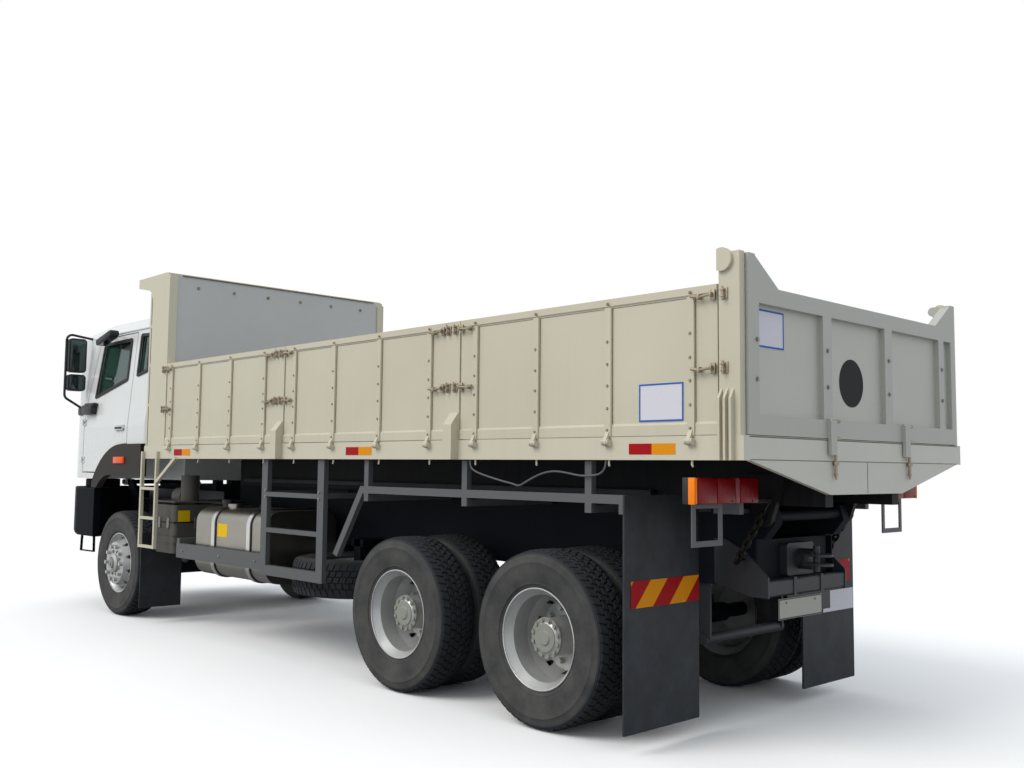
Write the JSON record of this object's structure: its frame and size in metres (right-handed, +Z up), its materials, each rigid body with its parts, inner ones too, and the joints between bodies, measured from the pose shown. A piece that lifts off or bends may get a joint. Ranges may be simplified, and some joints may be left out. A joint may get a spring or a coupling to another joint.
{
  "type": "tipper truck",
  "caption": "Tipping truck with a flat-fronted tilting cab and a drop-sided load body on a hydraulic cylinder.",
  "frame": {"origin": "on the ground under the middle of the truck's overall box", "axes": "+X forward, +Y to the truck's left, +Z up"},
  "size_m": [9.2025, 2.826, 3.345],
  "materials": {
    "body_paint": "satin",
    "gate_paint": "satin",
    "panel_grey": "satin",
    "cab_white": "gloss",
    "chassis_dark": "satin",
    "guard_grey": "satin",
    "silver_rim": "satin",
    "tank_aluminium": "satin",
    "pin_steel": "satin",
    "black_plastic": "matte",
    "fender_plastic": "matte",
    "tyre_rubber": "matte",
    "flap_rubber": "matte",
    "window_glass": "gloss",
    "lamp_red": "gloss",
    "lamp_clear": "gloss",
    "seat_fabric": "matte",
    "dash_plastic": "matte"
  },
  "bodies": {
    "chassis": {"chassis_frame": "chassis_dark", "front_axle": "chassis_dark", "rear_axles": "chassis_dark", "springs": "chassis_dark", "engine_block": "chassis_dark", "propshafts": "chassis_dark", "front_bumper": "black_plastic", "head_lamps": "lamp_clear", "fuel_tank": "tank_aluminium", "battery_box": "black_plastic", "spare_wheel": "tyre_rubber", "side_guards": "guard_grey", "mudguards": "guard_grey", "mud_flaps": "flap_rubber", "tow_frame": "chassis_dark", "tail_lamps": "lamp_red", "chains": "pin_steel"},
    "bed": {"body_floor": "body_paint", "body_rails": "body_paint", "body_posts": "body_paint", "headboard": "body_paint", "ladder": "body_paint", "hinge_lugs": "body_paint", "loose_cable": "flap_rubber"},
    "cab": {"cab_shell": "cab_white", "cab_glass": "window_glass", "cab_fenders": "fender_plastic", "grille": "black_plastic", "seats": "seat_fabric", "dashboard": "dash_plastic", "mirrors": "black_plastic"},
    "tailgate": {"tailgate": "gate_paint"},
    "ram_barrel": {"ram_barrel": "chassis_dark"},
    "ram_rod": {"ram_rod": "pin_steel"},
    "door_left": {"door_left": "cab_white", "door_glass_left": "window_glass"},
    "knuckle_left": {"knuckle_left": "chassis_dark"},
    "front_wheel_left": {"front_tyre_left": "tyre_rubber", "front_rim_left": "silver_rim"},
    "rear_wheels_left": {"rear_tyres_left": "tyre_rubber", "rear_rims_left": "silver_rim"},
    "forward_wheels_left": {"forward_tyres_left": "tyre_rubber", "forward_rims_left": "silver_rim"},
    "dropside_rear_left": {"dropside_rear_left": "body_paint"},
    "dropside_middle_left": {"dropside_middle_left": "body_paint"},
    "dropside_front_left": {"dropside_front_left": "body_paint"},
    "door_right": {"door_right": "cab_white", "door_glass_right": "window_glass"},
    "knuckle_right": {"knuckle_right": "chassis_dark"},
    "front_wheel_right": {"front_tyre_right": "tyre_rubber", "front_rim_right": "silver_rim"},
    "rear_wheels_right": {"rear_tyres_right": "tyre_rubber", "rear_rims_right": "silver_rim"},
    "forward_wheels_right": {"forward_tyres_right": "tyre_rubber", "forward_rims_right": "silver_rim"},
    "dropside_rear_right": {"dropside_rear_right": "body_paint"},
    "dropside_middle_right": {"dropside_middle_right": "body_paint"},
    "dropside_front_right": {"dropside_front_right": "body_paint"}
  },
  "joints": [
    {"name": "bed_tip", "type": "hinge", "parent": "chassis", "child": "bed", "pos_m": [-4.176, 0, 1.262], "axis": [0, -1, 0], "range_deg": [0, 48]},
    {"name": "tailgate_swing", "type": "hinge", "parent": "bed", "child": "tailgate", "pos_m": [-4.461, 0, 2.583], "axis": [0, 1, 0], "range_deg": [0, 75]},
    {"name": "cab_tilt", "type": "hinge", "parent": "chassis", "child": "cab", "pos_m": [4.484, 0, 1.31], "axis": [0, 1, 0], "range_deg": [0, 45]},
    {"name": "door_swing_left", "type": "hinge", "parent": "cab", "child": "door_left", "pos_m": [3.8385, 1.217, 1.76], "axis": [0, 0, -1], "range_deg": [0, 70]},
    {"name": "steer_left", "type": "hinge", "parent": "chassis", "child": "knuckle_left", "pos_m": [2.924, 0.85, 0.522], "axis": [0, 0, 1], "range_deg": [-35, 35]},
    {"name": "front_wheel_spin_left", "type": "hinge", "parent": "knuckle_left", "child": "front_wheel_left", "pos_m": [2.924, 1.034, 0.522], "axis": [0, 1, 0], "continuous": true},
    {"name": "rear_wheels_spin_left", "type": "hinge", "parent": "chassis", "child": "rear_wheels_left", "pos_m": [-3.116, 0.9185, 0.522], "axis": [0, 1, 0], "continuous": true},
    {"name": "forward_wheels_spin_left", "type": "hinge", "parent": "chassis", "child": "forward_wheels_left", "pos_m": [-1.764, 0.9185, 0.522], "axis": [0, 1, 0], "continuous": true},
    {"name": "dropside_drop_rear_left", "type": "hinge", "parent": "bed", "child": "dropside_rear_left", "pos_m": [-3.437, 1.272, 1.668], "axis": [-1, 0, 0], "range_deg": [0, 175]},
    {"name": "dropside_drop_middle_left", "type": "hinge", "parent": "bed", "child": "dropside_middle_left", "pos_m": [-1.307, 1.272, 1.668], "axis": [-1, 0, 0], "range_deg": [0, 175]},
    {"name": "dropside_drop_front_left", "type": "hinge", "parent": "bed", "child": "dropside_front_left", "pos_m": [0.823, 1.272, 1.668], "axis": [-1, 0, 0], "range_deg": [0, 175]},
    {"name": "door_swing_right", "type": "hinge", "parent": "cab", "child": "door_right", "pos_m": [3.8385, -1.217, 1.76], "axis": [0, 0, 1], "range_deg": [0, 70]},
    {"name": "steer_right", "type": "hinge", "parent": "chassis", "child": "knuckle_right", "pos_m": [2.924, -0.85, 0.522], "axis": [0, 0, 1], "range_deg": [-35, 35]},
    {"name": "front_wheel_spin_right", "type": "hinge", "parent": "knuckle_right", "child": "front_wheel_right", "pos_m": [2.924, -1.034, 0.522], "axis": [0, 1, 0], "continuous": true},
    {"name": "rear_wheels_spin_right", "type": "hinge", "parent": "chassis", "child": "rear_wheels_right", "pos_m": [-3.116, -0.9185, 0.522], "axis": [0, 1, 0], "continuous": true},
    {"name": "forward_wheels_spin_right", "type": "hinge", "parent": "chassis", "child": "forward_wheels_right", "pos_m": [-1.764, -0.9185, 0.522], "axis": [0, 1, 0], "continuous": true},
    {"name": "dropside_drop_rear_right", "type": "hinge", "parent": "bed", "child": "dropside_rear_right", "pos_m": [-3.437, -1.272, 1.668], "axis": [1, 0, 0], "range_deg": [0, 175]},
    {"name": "dropside_drop_middle_right", "type": "hinge", "parent": "bed", "child": "dropside_middle_right", "pos_m": [-1.307, -1.272, 1.668], "axis": [1, 0, 0], "range_deg": [0, 175]},
    {"name": "dropside_drop_front_right", "type": "hinge", "parent": "bed", "child": "dropside_front_right", "pos_m": [0.823, -1.272, 1.668], "axis": [1, 0, 0], "range_deg": [0, 175]},
    {"name": "ram_swing", "type": "hinge", "parent": "chassis", "child": "ram_barrel", "pos_m": [-0.676, 0, 0.99], "axis": [0, -1, 0], "range_deg": [-24, 0]},
    {"name": "ram_slide", "type": "slide", "parent": "ram_barrel", "child": "ram_rod", "axis": [-0.9657, 0, 0.2595], "range_m": [0, 1.3]}
  ],
  "couplings": [
    {"joint": "ram_swing", "follows": "bed_tip", "ratio": -0.4645},
    {"joint": "ram_slide", "follows": "bed_tip", "m_per_rad": 1.5446},
    {"joint": "steer_right", "follows": "steer_left", "ratio": 1}
  ]
}
